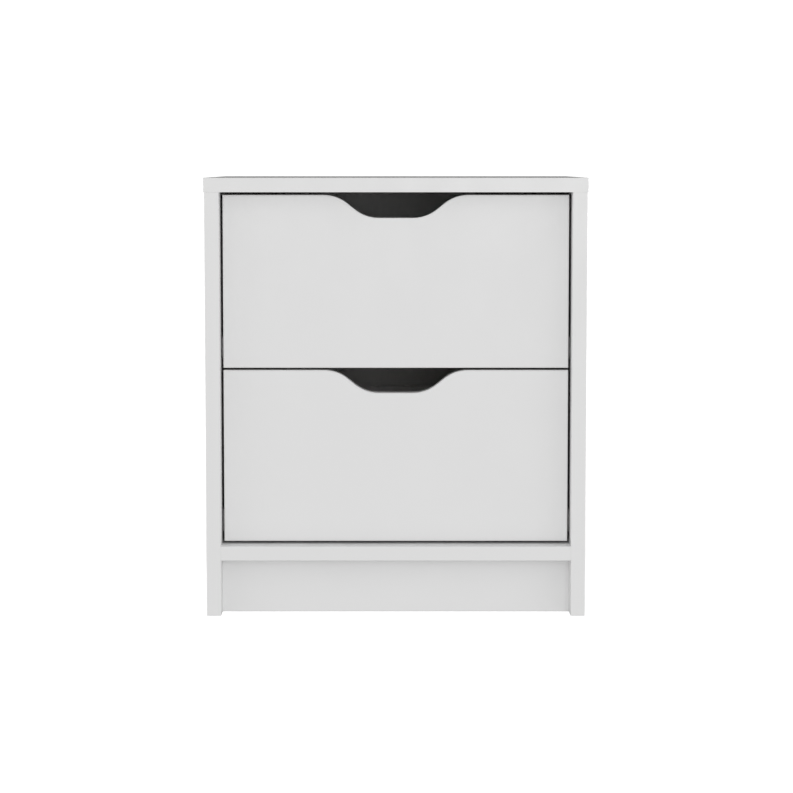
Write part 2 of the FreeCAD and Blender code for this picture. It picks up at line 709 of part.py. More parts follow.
def drawer_rail(label, level):
    """A Z section: a shelf under the drawer side and a flange that runs on the front roller."""
    rail = new_body(label)
    outer, inner = "runner_gap - steel", "runner_gap"
    section = [
        (outer, "shelf_lift"),
        (f"{outer} + shelf_wide", "shelf_lift"),
        (f"{outer} + shelf_wide", "shelf_lift + steel"),
        (inner, "shelf_lift + steel"),
        (inner, "flange_high"),
        (f"{inner} - flange_reach", "flange_high"),
        (f"{inner} - flange_reach", "flange_high - steel"),
        (outer, "flange_high - steel"),
    ]
    pad(rail, polygon(new_sketch(rail, "-y", "0"), section), "+y", "box_long").Reversed = True
    start, wide = f"{inner} - flange_reach", "flange_reach - steel"
    groove(rail, "+z", "flange_high", start, "box_long - flange_cut", wide, "flange_cut", "steel")
    screws = [(y, "drawer_screw_high") for y in DRAWER_SCREWS]
    drill(rail, "-x", outer, screws, "screw_radius", "steel")
    spares = [(y, "drawer_screw_high") for y in SPARE_HOLES]
    drill(rail, "-x", outer, spares, "spare_radius", "steel")
    drill(rail, "-x", outer, [("box_long - rear_inset", DRAWER_AXLE)], "pin_radius", "steel")
    return stand(rail, (f"-{INNER}", BOX_FRONT, runner_floor(level)))


def runner_rollers(place, level):
    """The cabinet's front rollers and the drawer's rear rollers of one level, left and right."""
    floor = runner_floor(level)
    front = (f"-{INNER} + roller_out", f"{RAIL_FRONT} + roller_inset", f"{floor} + {CABINET_AXLE}")
    rear = (f"-{BOX} - roller_out", f"{BOX_FRONT} + box_long - rear_inset", f"{floor} + {DRAWER_AXLE}")
    left = roller(f"{place}_left_cabinet_roller", front, RIGHT)
    subpart(mirror_image(left), f"{place}_right_cabinet_roller")
    left = roller(f"{place}_left_drawer_roller", rear, -RIGHT)
    subpart(mirror_image(left), f"{place}_right_drawer_roller")


def cabinet_runners(screw, pin):
    """The rails, screws and rivets that belong to the cabinet."""
    screws, pins = [], []
    head = f"-{INNER} + steel + screw_head_tall"
    for place, level in LEVELS.items():
        rail = cabinet_rail(f"{place}_left_cabinet_rail", level)
        subpart(mirror_image(rail), f"{place}_right_cabinet_rail")
        line = f"{runner_floor(level)} + cabinet_screw_high"
        screws += [copy_of(screw, (head, f"{RAIL_FRONT} + {y}", line), -RIGHT) for y in CABINET_SCREWS]
        axle = (f"-{INNER}", f"{RAIL_FRONT} + roller_inset", f"{runner_floor(level)} + {CABINET_AXLE}")
        pins.append(copy_of(pin, axle, RIGHT))
    group("cabinet_rail_screws", screws)
    group("cabinet_roller_pins", pins)


# ---- Drawers -------------------------------------------------------------------------------------


def pull_outline(sketch):
    """The front's outline: a rectangle whose top edge dips to the finger pull in two S-bends."""
    wide, tall = value(FRONT_WIDE), value("front_tall")
    middle, radius, deep = wide / 2, value("pull_radius"), value("pull_deep")
    shoulder, flat = value("pull_wide") / 2, value("pull_flat") / 2
    run = shoulder - flat
    # Two equal arcs joined by a straight slope: its length and angle follow from run and depth.
    slope = (run**2 + deep**2 - 4 * radius * deep) ** 0.5
    angle = Vector(2 * radius - deep, run, 0).getAngle(Vector(2 * radius, slope, 0))

    def arc(across, up, start, end):
        circle = Part.Circle(Vector(across, up, 0), UP, radius)
        return Part.ArcOfCircle(circle, start, end)

    quarter = math.pi / 2
    shoulder_up, hollow_up = tall - radius, tall - deep + radius
    arcs = [
        arc(middle + shoulder, shoulder_up, quarter, quarter + angle),
        arc(middle + flat, hollow_up, 3 * quarter, 3 * quarter + angle),
        arc(middle - flat, hollow_up, 3 * quarter - angle, 3 * quarter),
        arc(middle - shoulder, shoulder_up, quarter - angle, quarter),
    ]
    bottom_left, bottom_right = Vector(0, 0, 0), Vector(wide, 0, 0)
    top_left, top_right = Vector(0, tall, 0), Vector(wide, tall, 0)

    def line(start, end):
        return Part.LineSegment(start, end)

    edges = [
        line(bottom_left, bottom_right),
        line(bottom_right, top_right),
        line(top_right, arcs[0].StartPoint),
        arcs[0],
        line(arcs[0].EndPoint, arcs[1].EndPoint),
        arcs[1],
        line(arcs[1].StartPoint, arcs[2].EndPoint),
        arcs[2],
        line(arcs[2].StartPoint, arcs[3].StartPoint),
        arcs[3],
        line(arcs[3].EndPoint, top_left),
        line(top_left, bottom_left),
    ]
    sketch.addGeometry(edges)
    for here, end, after, start in ((0, 2, 1, 1), (1, 2, 2, 1), (10, 2, 11, 1), (11, 2, 0, 1)):
        sketch.addConstraint(Sketcher.Constraint("Coincident", here, end, after, start))
    bends = (
        (2, 2, 3, 1),
        (3, 2, 4, 1),
        (4, 2, 5, 2),
        (5, 1, 6, 1),
        (6, 2, 7, 2),
        (7, 1, 8, 1),
        (8, 2, 9, 1),
        (9, 2, 10, 1),
    )
    for here, end, after, start in bends:
        sketch.addConstraint(Sketcher.Constraint("Tangent", here, end, after, start))
    for edge in (3, 5, 7, 9):
        number = sketch.addConstraint(Sketcher.Constraint("Radius", edge, radius))
        bind(sketch, f"Constraints[{number}]", "pull_radius")
    fix(sketch, 0, 1, "0", "0")
    fix(sketch, 1, 1, FRONT_WIDE, "0")
    fix(sketch, 2, 1, FRONT_WIDE, "front_tall")
    fix(sketch, 11, 1, "0", "front_tall")
    fix(sketch, 3, 1, f"{FRONT_WIDE} / 2 + pull_wide / 2", "front_tall")
    fix(sketch, 6, 1, f"{FRONT_WIDE} / 2 + pull_flat / 2", "front_tall - pull_deep")
    fix(sketch, 6, 2, f"{FRONT_WIDE} / 2 - pull_flat / 2", "front_tall - pull_deep")
    fix(sketch, 9, 2, f"{FRONT_WIDE} / 2 - pull_wide / 2", "front_tall")
    return sketch


def drawer_front(place, level):
    """One drawer front, with holes and a groove in its rear face for the drawer box."""
    front = new_body(f"{place}_drawer_front")
    base = pad(front, pull_outline(new_sketch(front, "-y", "0")), "+y", "board")
    base.Reversed = True
    round_edges(front, base)
    middle = f"{FRONT_WIDE} / 2"
    ends = (f"{middle} - {BOX_MIDDLE}", f"{middle} + {BOX_MIDDLE}")
    bolts = [(x, "box_rise + box_cam_high") for x in ends]
    drill(front, "+y", "board", bolts, "bolt_radius", "hole_deep")
    dowels = [(x, f"box_rise + {z}") for x in ends for z in BOX_DOWELS]
    drill(front, "+y", "board", dowels, "box_dowel_radius", "hole_deep")
    start, rise = f"{middle} - {GROOVE_END}", "box_rise + groove_rise"
    groove(front, "+y", "board", start, rise, f"2 * {GROOVE_END}", "groove_tall", "groove_deep")
    stand(front, (f"-{middle}", FRONT_FACE, front_bottom(level)))


def drawer_box(place, level):
    """The sides, back and bottom of one drawer."""
    low = box_bottom(level)
    middle = "side_board / 2"
    label = f"{place}_drawer_left_side"
    side = board(label, (f"-{BOX}", BOX_FRONT, low), ("side_board", "box_long", "box_tall"))
    groove(side, "+x", "side_board", "0", "groove_rise", "box_long", "groove_tall", "groove_deep")
    drill(side, "-y", "0", [(middle, "box_cam_high")], "box_bolt_room", "box_cam_reach")
    drill(side, "-y", "0", [(middle, z) for z in BOX_DOWELS], "box_dowel_radius", "dowel_hole")
    drill(side, "-x", "0", [("box_cam_reach", "box_cam_high")], "box_cam_radius", "box_cam_deep")
    line = "drawer_screw_high - shelf_lift - steel"
    drill(side, "-x", "0", [(y, line) for y in DRAWER_SCREWS], "screw_radius", "screw_long + screw_spare")
    screws = [(f"box_long - {middle}", z) for z in BACK_SCREWS]
    countersink(side, "-x", "0", screws, "screw_radius", "back_screw_head")
    subpart(mirror_image(side), f"{place}_drawer_right_side")

    corner = (f"-{BOX_INSIDE}", f"{BOX_FRONT} + box_long - side_board", f"{low} + {BACK_RISE}")
    size = (f"2 * {BOX_INSIDE}", "side_board", f"box_tall - {BACK_RISE}")
    back = board(f"{place}_drawer_back", corner, size)
    for face, edge in (("-x", "0"), ("+x", f"2 * {BOX_INSIDE}")):
        spots = [(middle, f"{z} - {BACK_RISE}") for z in BACK_SCREWS]
        drill(back, face, edge, spots, "screw_radius", "back_screw_long + screw_spare")
    spots = [(x, middle) for x in SMALL_SCREWS]
    drill(back, "-z", "0", spots, "small_screw_radius", "small_screw_long + screw_spare")

    half = f"({GROOVE_END} - groove_play)"
    corner = (f"-{half}", f"{BOX_FRONT} + box_long - {BOTTOM_LONG}", f"{low} + groove_rise")
    size = (f"2 * {half}", BOTTOM_LONG, "hardboard")
    bottom = board(f"{place}_drawer_bottom", corner, size, rounded=False)
    spots = [(f"{half} - {BOX_INSIDE} + {x}", f"{BOTTOM_LONG} - {middle}") for x in SMALL_SCREWS]
    drill(bottom, "-z", "0", spots, "small_screw_radius", "hardboard")


def drawer_fasteners(place, level, hardware):
    """What holds one drawer together, and its rails."""
    low, floor = box_bottom(level), runner_floor(level)
    cam_row, cam_line = f"{BOX_FRONT} + box_cam_reach", f"{low} + box_cam_high"
    front_tip = f"{BOX_FRONT} - bolt_deep"
    disc_place = (f"-{BOX} + cam_play", cam_row, cam_line)
    group(f"{place}_drawer_cam_discs", [copy_of(hardware["disc"], disc_place, RIGHT, -BACK)])
    bolt_place = (f"-{BOX_MIDDLE}", front_tip, cam_line)
    group(f"{place}_drawer_cam_bolts", [copy_of(hardware["bolt"], bolt_place, BACK)])
    pegs = [
        copy_of(hardware["dowel"], (f"-{BOX_MIDDLE}", front_tip, f"{low} + {z}"), BACK)
        for z in BOX_DOWELS
    ]
    group(f"{place}_drawer_dowels", pegs)
    rear = f"{BOX_FRONT} + box_long - side_board / 2"
    screws = [
        copy_of(hardware["flat screw"], (f"-{BOX}", rear, f"{low} + {z}"), RIGHT)
        for z in BACK_SCREWS
    ]
    group(f"{place}_drawer_back_screws", screws)
    under = f"{low} + groove_rise - screw_head_tall"
    small = [
        copy_of(hardware["small screw"], (f"{x} - {BOX_INSIDE}", rear, under), UP)
        for x in SMALL_SCREWS
    ]
    group(f"{place}_drawer_bottom_screws", small, both_sides=False)

    rail = drawer_rail(f"{place}_left_drawer_rail", level)
    subpart(mirror_image(rail), f"{place}_right_drawer_rail")
    head, line = f"-{BOX} - steel - screw_head_tall", f"{floor} + drawer_screw_high"
    screws = [
        copy_of(hardware["rail screw"], (head, f"{BOX_FRONT} + {y}", line), RIGHT)
        for y in DRAWER_SCREWS
    ]
    group(f"{place}_drawer_rail_screws", screws)
    axle = (f"-{BOX}", f"{BOX_FRONT} + box_long - rear_inset", f"{floor} + {DRAWER_AXLE}")
    group(f"{place}_drawer_roller_pins", [copy_of(hardware["pin"], axle, -RIGHT)])


# ---- Assembly ------------------------------------------------------------------------------------

HARDWARE = {
    "disc": cam("box_cam_radius", "box_cam_deep", "side_board", "box_bolt_room"),
    "bolt": cam_bolt("box_cam_reach", "box_cam_radius"),
    "dowel": dowel("box_dowel_radius"),
    "flat screw": flat_screw(),
    "rail screw": pan_screw("screw_radius", "screw_head", "screw_head_tall", "steel + screw_long"),
    "small screw": pan_screw(
        "small_screw_radius", "small_screw_head", "screw_head_tall", "hardboard + small_screw_long"
    ),
    "pin": turned(
        [
            ("pin_radius", "pin_radius", "roller_out + roller_wide - head_sunk + pin_rise"),
            ("pin_head", "pin_head - head_bevel", "head_tall"),
        ]
    ),
}

top_panel()
side_panels()
bottom_panel()
kick_board()
back_panel()
cabinet_fasteners()
cabinet_runners(HARDWARE["rail screw"], HARDWARE["pin"])
for drawer, height_step in LEVELS.items():
    runner_rollers(drawer, height_step)
    drawer_front(drawer, height_step)
    drawer_box(drawer, height_step)
    drawer_fasteners(drawer, height_step, HARDWARE)

doc.recompute()
failed = [item.Label for item in doc.Objects if {"Invalid", "Error"} & set(item.State)]
failed += [item.Label for item in subparts if item.Shape.isNull() or not item.Shape.isValid()]
if failed:
    raise RuntimeError(f"these did not build: {failed}")

os.makedirs("parts", exist_ok=True)
for item in subparts:
    item.Shape.exportStep(f"parts/{item.Label}.step")
print(f"{len(subparts)} sub-parts written")
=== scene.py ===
"""The looks of a white nightstand with two drawers, on its CAD frame.

Metres; Z is up and the drawers open towards -Y. The boards, rollers, cams, bolts, nails and dowels are
CAD nodes that keep their shape. The rails get softened edges, and the screws a thread and a cross recess.
Each piece gets its own finish, and the last section sets the studio.
"""

import json
import math

import bmesh
import bpy
from mathutils import Matrix, Vector

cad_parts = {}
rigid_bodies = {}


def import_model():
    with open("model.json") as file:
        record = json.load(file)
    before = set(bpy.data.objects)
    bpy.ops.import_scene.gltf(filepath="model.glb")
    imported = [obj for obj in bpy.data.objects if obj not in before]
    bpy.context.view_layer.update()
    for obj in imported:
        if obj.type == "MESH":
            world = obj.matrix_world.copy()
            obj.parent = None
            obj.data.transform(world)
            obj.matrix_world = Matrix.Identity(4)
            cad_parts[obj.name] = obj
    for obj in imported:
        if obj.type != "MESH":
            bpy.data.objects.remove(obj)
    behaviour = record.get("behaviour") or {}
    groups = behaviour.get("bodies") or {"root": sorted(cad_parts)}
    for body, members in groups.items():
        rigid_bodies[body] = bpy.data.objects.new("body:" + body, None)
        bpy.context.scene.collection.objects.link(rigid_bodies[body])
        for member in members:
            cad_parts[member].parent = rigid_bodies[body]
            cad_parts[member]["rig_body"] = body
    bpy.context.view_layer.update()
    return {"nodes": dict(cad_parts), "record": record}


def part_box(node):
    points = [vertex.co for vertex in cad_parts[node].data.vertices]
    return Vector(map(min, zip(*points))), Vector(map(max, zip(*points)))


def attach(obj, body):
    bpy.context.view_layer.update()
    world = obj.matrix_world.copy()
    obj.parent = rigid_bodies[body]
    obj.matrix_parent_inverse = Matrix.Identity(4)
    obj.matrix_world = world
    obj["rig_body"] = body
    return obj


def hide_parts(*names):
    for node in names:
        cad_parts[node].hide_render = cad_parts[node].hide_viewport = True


MM = 0.001
SAME_POINT = 0.001 * MM  # points nearer than this are one point

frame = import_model()
nodes = frame["nodes"]


# ---- Node trees ----------------------------------------------------------------------------------

MIX_COLOURS, MIX_RESULT = (6, 7), 2  # the colour sockets of a Mix node


class Nodes:
    """A node tree under construction: every method adds nodes and returns an output socket."""

    def __init__(self, tree):
        self.tree = tree

    def add(self, kind, inputs=None, output=0, **settings):
        node = self.tree.nodes.new(kind)
        for name, setting in settings.items():
            setattr(node, name, setting)
        for name, source in (inputs or {}).items():
            self.connect(source, node.inputs[name])
        return node.outputs[output]

    def connect(self, source, socket):
        if isinstance(source, bpy.types.NodeSocket):
            self.tree.links.new(source, socket)
        else:
            socket.default_value = source

    def add_part(self, vector, axis):
        return self.add("ShaderNodeSeparateXYZ", {"Vector": vector}, output=axis)

    def math(self, operation, *values):
        return self.add("ShaderNodeMath", dict(enumerate(values)), operation=operation)

    def distance(self, first, second):
        """How far apart two numbers are."""
        return self.math("ABSOLUTE", self.math("SUBTRACT", first, second))

    def diagonal(self, first, second):
        """The length of the line across a rectangle with these two sides."""
        squares = [self.math("MULTIPLY", side, side) for side in (first, second)]
        return self.math("SQRT", self.math("ADD", *squares))

    def average(self, share, first, second):
        """The first number for its share, and the second for the rest."""
        parts = (self.math("MULTIPLY", first, share), self.math("MULTIPLY", second, 1 - share))
        return self.math("ADD", *parts)

    def least(self, values):
        """The smallest of several values."""
        result = values[0]
        for value in values[1:]:
            result = self.math("MINIMUM", result, value)
        return result

    def ramp(self, value, low, high, to_low=0.0, to_high=1.0):
        """The value's place between low and high, eased, as a number from to_low to to_high."""
        inputs = {
            "Value": value,
            "From Min": low,
            "From Max": high,
            "To Min": to_low,
            "To Max": to_high,
        }
        return self.add("ShaderNodeMapRange", inputs, interpolation_type="SMOOTHSTEP")


class Look(Nodes):
    """A material under construction, in the object's own coordinates."""

    def __init__(self, name):
        self.material = bpy.data.materials.new(name)
        self.material.use_nodes = True
        super().__init__(self.material.node_tree)
        self.shader = self.tree.nodes["Principled BSDF"]
        self.place = self.add("ShaderNodeTexCoord", output="Object")
        self.x, self.y, self.z = (self.add_part(self.place, axis) for axis in "XYZ")

    def noise(self, size, detail=2.0, stretch=(1, 1, 1), rough=0.5):
        """Noise from 0 to 1 whose blobs are about that size, in metres."""
        place = self.add(
            "ShaderNodeMapping", {"Vector": self.place, "Scale": stretch}, vector_type="POINT"
        )
        inputs = {"Vector": place, "Scale": 1 / size, "Detail": detail, "Roughness": rough}
        return self.add("ShaderNodeTexNoise", inputs)

    def cells(self, size):
        """Cells of about that size, in metres, each with a value of its own from 0 to 1."""
        inputs = {"Vector": self.place, "Scale": 1 / size}
        return self.add_part(self.add("ShaderNodeTexVoronoi", inputs, output="Color"), "X")

    def blend(self, share, first, second):
        """A mix of two colours: the first where the share is 0, and the second where it is 1."""
        node = self.tree.nodes.new("ShaderNodeMix")
        node.data_type = "RGBA"
        self.connect(share, node.inputs["Factor"])
        for socket, colour in zip(MIX_COLOURS, (first, second)):
            if not isinstance(colour, bpy.types.NodeSocket):
                colour = (*colour, 1)
            self.connect(colour, node.inputs[socket])
        return node.outputs[MIX_RESULT]

    def height(self, value, depth, under=None):
        """A bump of the given depth in metres, on top of another bump."""
        inputs = {"Height": value, "Distance": depth, "Strength": 1.0}
        if under is not None:
            inputs["Normal"] = under
        return self.add("ShaderNodeBump", inputs)

    def finish(self, colour, roughness, normal=None, **fixed):
        """Connect the shader. Settings that are the same all over go straight to its sockets."""
        self.connect(colour, self.shader.inputs["Base Color"])
        self.connect(roughness, self.shader.inputs["Roughness"])
        if normal is not None:
            self.connect(normal, self.shader.inputs["Normal"])
        for name, value in fixed.items():
            self.shader.inputs[name.replace("_", " ")].default_value = value
        return self.material


# ---- Boards --------------------------------------------------------------------------------------

WHITE_LOW, WHITE_HIGH = (0.860, 0.860, 0.860), (0.886, 0.886, 0.885)
BAND_WHITE = (0.872, 0.872, 0.870)
GLUE_LINE = (0.42, 0.40, 0.36)
CHIP_DARK, CHIP_MIDDLE, CHIP_LIGHT = (0.30, 0.17, 0.08), (0.60, 0.41, 0.23), (0.82, 0.64, 0.42)
BAND = 0.8 * MM  # thickness of the edge banding
FOIL = 0.35 * MM  # thickness of the melamine on the faces
SEAM_NARROW, SEAM_WIDE = 0.03 * MM, 0.09 * MM  # half the width of the glue line, dark part and all of it
PULL_WIDE, PULL_FLAT, PULL_DEEP, PULL_BEND = 152 * MM, 36 * MM, 24 * MM, 40 * MM

RAW_FACES = {
    "top_panel": ("+y",),
    "left_side_panel": ("+y", "-z", "+z"),
    "right_side_panel": ("+y", "-z", "+z"),
    "bottom_panel": ("+y", "-x", "+x"),
    "kick_board": ("-x", "+x"),
}


def chipboard(look):
    """Flakes and dust of pressed wood, as seen on a cut edge: a colour and a bump height."""
    flakes = look.cells(1.7 * MM)
    pores = look.ramp(look.noise(0.6 * MM, detail=3), 0.32, 0.45)
    colour = look.blend(pores, CHIP_DARK, look.blend(flakes, CHIP_MIDDLE, CHIP_LIGHT))
    return colour, look.math("MULTIPLY", pores, look.math("ADD", flakes, 0.5))


def below_pull(look, low, high):
    """How deep a point of a drawer front lies below its top edge, which dips in the middle.

    Each end of the dip bends down from the level edge, slopes, and bends level again at the bottom.
    """
    edge_end, bottom_end = PULL_WIDE / 2, PULL_FLAT / 2
    run, drop = edge_end - bottom_end, 2 * PULL_BEND - PULL_DEEP
    slope = math.atan2(run, drop) - math.acos(2 * PULL_BEND / math.hypot(run, drop))
    reach = PULL_BEND * math.sin(slope)
    across = look.distance(look.x, (low.x + high.x) / 2)
    depth = look.math("SUBTRACT", high.z, look.z)

    def from_centre(centre_across, centre_depth):
        sideways = look.math("SUBTRACT", across, centre_across)
        return look.diagonal(sideways, look.math("SUBTRACT", depth, centre_depth))

    bottom = look.math("SUBTRACT", depth, PULL_DEEP)
    lower_bend = look.math("SUBTRACT", from_centre(bottom_end, PULL_DEEP - PULL_BEND), PULL_BEND)
    upper_bend = look.math("SUBTRACT", PULL_BEND, from_centre(edge_end, PULL_BEND))
    upper_bend = look.math("MAXIMUM", upper_bend, bottom)
    sideways = look.math("MULTIPLY", look.math("SUBTRACT", across, edge_end - reach), math.sin(slope))
    upright = look.math("SUBTRACT", depth, PULL_BEND * (1 - math.cos(slope)))
    straight = look.math("ADD", sideways, look.math("MULTIPLY", upright, math.cos(slope)))
    result = bottom
    for start, part in (
        (bottom_end, lower_bend),
        (bottom_end + reach, straight),
        (edge_end - reach, upper_bend),
        (edge_end, depth),
    ):
        beyond = look.math("GREATER_THAN", across, start)
        change = look.math("MULTIPLY", beyond, look.math("SUBTRACT", part, result))
        result = look.math("ADD", result, change)
    return result


def board_depths(look, name, raw, pull):
    """How far a point lies behind the nearest covered face, and behind the nearest banded edge."""
    low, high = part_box(name)
    thin = min(range(3), key=lambda axis: high[axis] - low[axis])
    to_faces, to_bands = [], []
    for axis, place in enumerate((look.x, look.y, look.z)):
        for sign in "-+":
            face = sign + "xyz"[axis]
            if face in raw:
                continue
            if pull and face == "+z":
                depth = below_pull(look, low, high)
            elif sign == "-":
                depth = look.math("SUBTRACT", place, low[axis])
            else:
                depth = look.math("SUBTRACT", high[axis], place)
            to_faces.append(depth)
            if axis != thin:
                to_bands.append(depth)
    return look.least(to_faces), look.least(to_bands)


def board_look(name, raw=(), pull=False):
    """White melamine on chipboard, with edge banding and a hairline of glue beside it.

    The faces named in raw have no band. Whatever lies deeper than the foil, such as a drilled hole or
    a groove, shows chipboard. With pull, the top edge dips as a finger pull and its band follows it.
    """
    look = Look(f"{name}_finish")
    to_face, to_band = board_depths(look, name, raw, pull)
    core = look.ramp(to_face, FOIL * 0.9, FOIL * 1.2)
    on_band = look.math("LESS_THAN", to_band, BAND)
    seam = look.ramp(look.distance(to_band, BAND), SEAM_NARROW, SEAM_WIDE, 1.0, 0.0)
    cloud = look.noise(90 * MM, detail=3)
    pearl = look.noise(1.1 * MM, detail=2)
    smear = look.noise(28 * MM, detail=5, stretch=(1, 1, 0.6))
    chips, chip_height = chipboard(look)

    colour = look.blend(look.average(0.7, cloud, pearl), WHITE_LOW, WHITE_HIGH)
    colour = look.blend(on_band, colour, BAND_WHITE)
    colour = look.blend(look.math("MULTIPLY", seam, 0.75), colour, GLUE_LINE)
    colour = look.blend(core, colour, chips)
    roughness = look.ramp(smear, 0.3, 0.7, 0.40, 0.52)
    roughness = look.math("SUBTRACT", roughness, look.math("MULTIPLY", on_band, 0.08))
    roughness = look.ramp(core, 0.0, 1.0, roughness, 0.85)
    bump = look.height(pearl, 0.012 * MM)
    bump = look.height(look.math("MULTIPLY", chip_height, core), 0.25 * MM, bump)
    bump = look.height(look.math("MULTIPLY", seam, -1.0), 0.06 * MM, bump)
    return look.finish(colour, roughness, bump, IOR=1.5)


# ---- Hardboard -----------------------------------------------------------------------------------

LACQUER_LOW, LACQUER_HIGH = (0.745, 0.745, 0.74), (0.79, 0.79, 0.785)
LACQUER = 0.25 * MM  # how deep the white reaches at the painted face's edges
FIBRE_DARK, FIBRE_LIGHT = (0.30, 0.175, 0.095), (0.44, 0.28, 0.165)
SPECK = (0.13, 0.075, 0.04)


def hardboard_look(name, side):
    """Brown pressed fibre, with white lacquer on one face: "-y" or "+z"."""
    look = Look(f"{name}_finish")
    low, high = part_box(name)
    if side == "-y":
        depth = look.math("SUBTRACT", look.y, low.y)
    else:
        depth = look.math("SUBTRACT", high.z, look.z)
    painted = look.math("LESS_THAN", depth, LACQUER)
    grain = look.noise(0.9 * MM, detail=2)
    fibres = look.noise(1.6 * MM, detail=5, stretch=(1, 1, 0.35), rough=0.7)
    patches = look.noise(60 * MM, detail=3)
    specks = look.ramp(look.noise(0.8 * MM, detail=1), 0.68, 0.74)

    mottle = look.ramp(look.average(0.8, fibres, patches), 0.35, 0.65)
    brown = look.blend(mottle, FIBRE_DARK, FIBRE_LIGHT)
    brown = look.blend(look.math("MULTIPLY", specks, 0.5), brown, SPECK)
    colour = look.blend(painted, brown, look.blend(grain, LACQUER_LOW, LACQUER_HIGH))
    roughness = look.ramp(painted, 0, 1, look.ramp(fibres, 0.3, 0.7, 0.52, 0.72), 0.45)
    bump = look.height(fibres, look.ramp(painted, 0, 1, 0.05 * MM, 0.004 * MM))
    bump = look.height(grain, 0.008 * MM, bump)
    return look.finish(colour, roughness, bump)


# ---- Rails and rollers ---------------------------------------------------------------------------

SHEET = 1.2 * MM  # thickness of the rails' steel
PAINT_LOW, PAINT_HIGH = (0.72, 0.725, 0.725), (0.765, 0.768, 0.765)
RUBBED = (0.33, 0.33, 0.335)
IVORY_LOW, IVORY_HIGH = (0.76, 0.745, 0.69), (0.82, 0.81, 0.77)
TREAD_SOIL = (0.32, 0.31, 0.29)
MOULD_RING = 0.6 * MM


def rail_look(name):
    """White epoxy powder on steel sheet, rubbed grey in streaks where a roller runs."""
    look = Look(f"{name}_finish")
    low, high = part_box(name)
    level = low.z + SHEET if "cabinet" in name else high.z - SHEET
    track = look.ramp(look.distance(look.z, level), 0.1 * MM, 0.3 * MM, 1, 0)
    streaks = look.ramp(look.noise(1.5 * MM, detail=3, stretch=(1, 0.04, 1)), 0.48, 0.68)
    rub = look.math("MULTIPLY", look.math("MULTIPLY", track, streaks), 0.55)
    peel = look.noise(1.4 * MM, detail=1)
    cloud = look.noise(40 * MM, detail=2)

    colour = look.blend(rub, look.blend(cloud, PAINT_LOW, PAINT_HIGH), RUBBED)
    roughness = look.ramp(look.math("ADD", cloud, rub), 0.3, 0.9, 0.28, 0.42)
    bump = look.height(peel, 0.035 * MM)
    bump = look.height(look.math("MULTIPLY", rub, -1.0), 0.02 * MM, bump)
    return look.finish(colour, roughness, bump)


def roller_look(name):
    """Ivory nylon with moulding rings round the axle and a grey line worn into the tread."""
    look = Look(f"{name}_finish")
    low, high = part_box(name)
    middle = (low + high) / 2
    rim = high.z - middle.z
    across = look.math("SUBTRACT", look.y, middle.y)
    radius = look.diagonal(across, look.math("SUBTRACT", look.z, middle.z))
    rings = look.math("SINE", look.math("MULTIPLY", radius, 2 * math.pi / MOULD_RING))
    tread = look.ramp(radius, rim - 0.25 * MM, rim - 0.1 * MM)
    line = look.ramp(look.distance(look.x, middle.x), 0.8 * MM, 2.4 * MM, 1, 0)
    line = look.math("MULTIPLY", tread, line)
    dust = look.noise(2.5 * MM, detail=4)
    soil = look.math("MULTIPLY", line, look.ramp(dust, 0.25, 0.7, 0.2, 0.6))

    ivory = look.blend(look.noise(6 * MM), IVORY_LOW, IVORY_HIGH)
    colour = look.blend(soil, ivory, TREAD_SOIL)
    roughness = look.ramp(dust, 0.3, 0.7, 0.30, 0.42)
    bump = look.height(dust, 0.02 * MM, look.height(rings, 0.01 * MM))
    return look.finish(colour, roughness, bump, Subsurface_Weight=0.12, Subsurface_Scale=2 * MM)


def soften(name, radius):
    """Round the sharp edges of a folded rail a little."""
    weld = nodes[name].modifiers.new("weld", "WELD")
    weld.merge_threshold = SAME_POINT
    bevel = nodes[name].modifiers.new("bevel", "BEVEL")
    bevel.width = radius
    bevel.segments = 2
    bevel.limit_method = "ANGLE"
    bevel.angle_limit = math.radians(50)
    bevel.harden_normals = True


# ---- Fittings ------------------------------------------------------------------------------------

BEECH_DARK, BEECH_LIGHT = (0.50, 0.34, 0.19), (0.72, 0.54, 0.35)
BEECH_PORE = (0.33, 0.20, 0.10)


def metal_look(name, dark, light, rough_low, rough_high, grain, depth):
    """Bare or plated metal with patchy shine, darker spots and a fine surface."""
    look = Look(name)
    patches = look.noise(grain * 6, detail=4)
    fine = look.noise(grain, detail=3)
    spots = look.ramp(look.noise(grain * 2, detail=2), 0.62, 0.72)
    spot_colour = [part * 0.55 for part in dark]

    colour = look.blend(patches, dark, light)
    colour = look.blend(look.math("MULTIPLY", spots, 0.35), colour, spot_colour)
    shine = look.math("ADD", patches, look.math("MULTIPLY", spots, 0.4))
    roughness = look.ramp(shine, 0.3, 0.9, rough_low, rough_high)
    return look.finish(colour, roughness, look.height(fine, depth), Metallic=1.0)


def dowel_look():
    """Beech: pale brown with darker pores."""
    look = Look("beech_finish")
    grain = look.noise(1.2 * MM, detail=5, stretch=(0.15, 0.15, 0.15), rough=0.6)
    pores = look.ramp(look.noise(0.5 * MM, detail=2), 0.60, 0.68)
    colour = look.blend(look.ramp(grain, 0.3, 0.7), BEECH_DARK, BEECH_LIGHT)
    colour = look.blend(look.math("MULTIPLY", pores, 0.4), colour, BEECH_PORE)
    return look.finish(colour, look.ramp(grain, 0.3, 0.7, 0.55, 0.7), look.height(pores, 0.05 * MM))


FITTINGS = {
    "cam_zinc": metal_look(
        "zinc_finish",
        dark=(0.58, 0.59, 0.61),
        light=(0.76, 0.77, 0.78),
        rough_low=0.42,
        rough_high=0.60,
        grain=0.5 * MM,
        depth=0.03 * MM,
    ),
    "fastener_steel": metal_look(
        "steel_finish",
        dark=(0.66, 0.67, 0.69),
        light=(0.86, 0.87, 0.88),
        rough_low=0.26,
        rough_high=0.44,
        grain=0.3 * MM,
        depth=0.008 * MM,
    ),
    "dowel_wood": dowel_look(),
}


